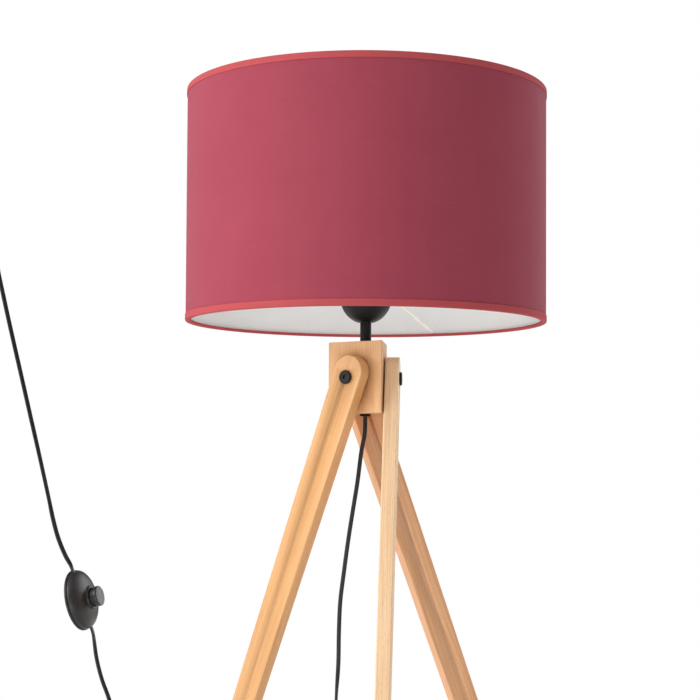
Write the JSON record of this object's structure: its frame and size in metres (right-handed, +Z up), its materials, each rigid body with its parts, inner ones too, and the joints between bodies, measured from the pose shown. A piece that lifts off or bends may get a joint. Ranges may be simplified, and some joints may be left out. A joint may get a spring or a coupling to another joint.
{
  "type": "tripod floor lamp",
  "caption": "Tripod floor lamp with a fabric drum shade, a triangular wooden head block, tapered wooden legs on bolts and a foot switch on the lead.",
  "frame": {"origin": "on the floor under the centre of the lamp's own box, measured without the mains lead and what is on it; the stem's axis stands 103.4 mm behind it, towards +Y, because one leg reaches forward", "axes": "+Z up along the stem; -Y is the side that the second leg's foot points to"},
  "size_m": [0.8923, 0.6584, 1.45],
  "materials": {
    "beech": "satin lacquered beech, fine straight and flat-sawn grain",
    "black_steel": "satin black powder coat",
    "black_plastic": "matt black moulding",
    "button_plastic": "matt black moulding, slightly smoother",
    "lead_sheath": "soft black PVC twin flat lead",
    "burgundy_fabric": "woven cotton, slubby horizontal weave",
    "white_lining": "white styrene lining",
    "coral_tape": "woven binding tape",
    "white_wire": "white epoxy-coated wire",
    "bright_steel": "zinc-plated",
    "brass": "bright",
    "ceramic": "glazed off-white insulator",
    "felt": "dark pressed felt",
    "bulb_white": "opal white"
  },
  "bodies": {
    "stand": {"head_block": "beech", "pivot_bolt_1": "black_steel", "pivot_bolt_2": "black_steel", "pivot_bolt_3": "black_steel", "threaded_insert_1": "brass", "threaded_insert_2": "brass", "threaded_insert_3": "brass", "spacer_washer_1": "black_steel", "spacer_washer_2": "black_steel", "spacer_washer_3": "black_steel", "stop_pin_1": "bright_steel", "stop_pin_2": "bright_steel", "stop_pin_3": "bright_steel", "stem_tube": "black_steel", "threaded_rod": "bright_steel", "rod_end_nut": "black_steel", "cord_grip": "black_plastic", "dome_cup": "black_steel", "dome_nut": "bright_steel", "lampholder_cap": "black_plastic", "lampholder_shell": "black_plastic", "lampholder_core": "ceramic", "screw_shell": "brass", "centre_contact": "brass", "shade_ring_nut": "black_plastic", "bulb_cap": "bright_steel", "bulb_body": "bulb_white", "bulb_globe": "bulb_white", "shade_fabric": "burgundy_fabric", "shade_lining": "white_lining", "tape_bottom": "coral_tape", "tape_top": "coral_tape", "wire_ring_top": "white_wire", "wire_ring_bottom": "white_wire", "spider_hub": "white_wire", "spider_arm_1": "white_wire", "spider_arm_2": "white_wire", "spider_arm_3": "white_wire", "switch_base": "black_plastic", "switch_cover": "black_plastic", "switch_spring": "bright_steel", "switch_module": "ceramic", "plug_sleeve": "black_plastic", "plug_body": "black_plastic", "plug_pin_1": "bright_steel", "plug_pin_2": "bright_steel", "lead_inner": "lead_sheath", "lead_to_switch": "lead_sheath", "lead_to_plug": "lead_sheath"},
    "leg_1": {"leg_1": "beech", "foot_pad_1": "felt"},
    "leg_2": {"leg_2": "beech", "foot_pad_2": "felt"},
    "leg_3": {"leg_3": "beech", "foot_pad_3": "felt"},
    "button": {"switch_button": "button_plastic"}
  },
  "joints": [
    {"name": "leg_1_fold", "type": "hinge", "parent": "stand", "child": "leg_1", "pos_m": [-0.01945, 0.07527, 1.09], "axis": [-0.5693, -0.8221, 0], "range_deg": [0, 21.1]},
    {"name": "leg_2_fold", "type": "hinge", "parent": "stand", "child": "leg_2", "pos_m": [0.03404, 0.10056, 1.09], "axis": [0.9966, -0.0819, 0], "range_deg": [0, 21.1]},
    {"name": "leg_3_fold", "type": "hinge", "parent": "stand", "child": "leg_3", "pos_m": [-0.01461, 0.13424, 1.09], "axis": [-0.4274, 0.9041, 0], "range_deg": [0, 21.1]},
    {"name": "switch_press", "type": "slide", "parent": "stand", "child": "button", "axis": [-0.9418, 0.2545, -0.2194], "range_m": [0, 0.0035], "stiffness_N_per_m": 600, "springref_m": -0.003}
  ]
}
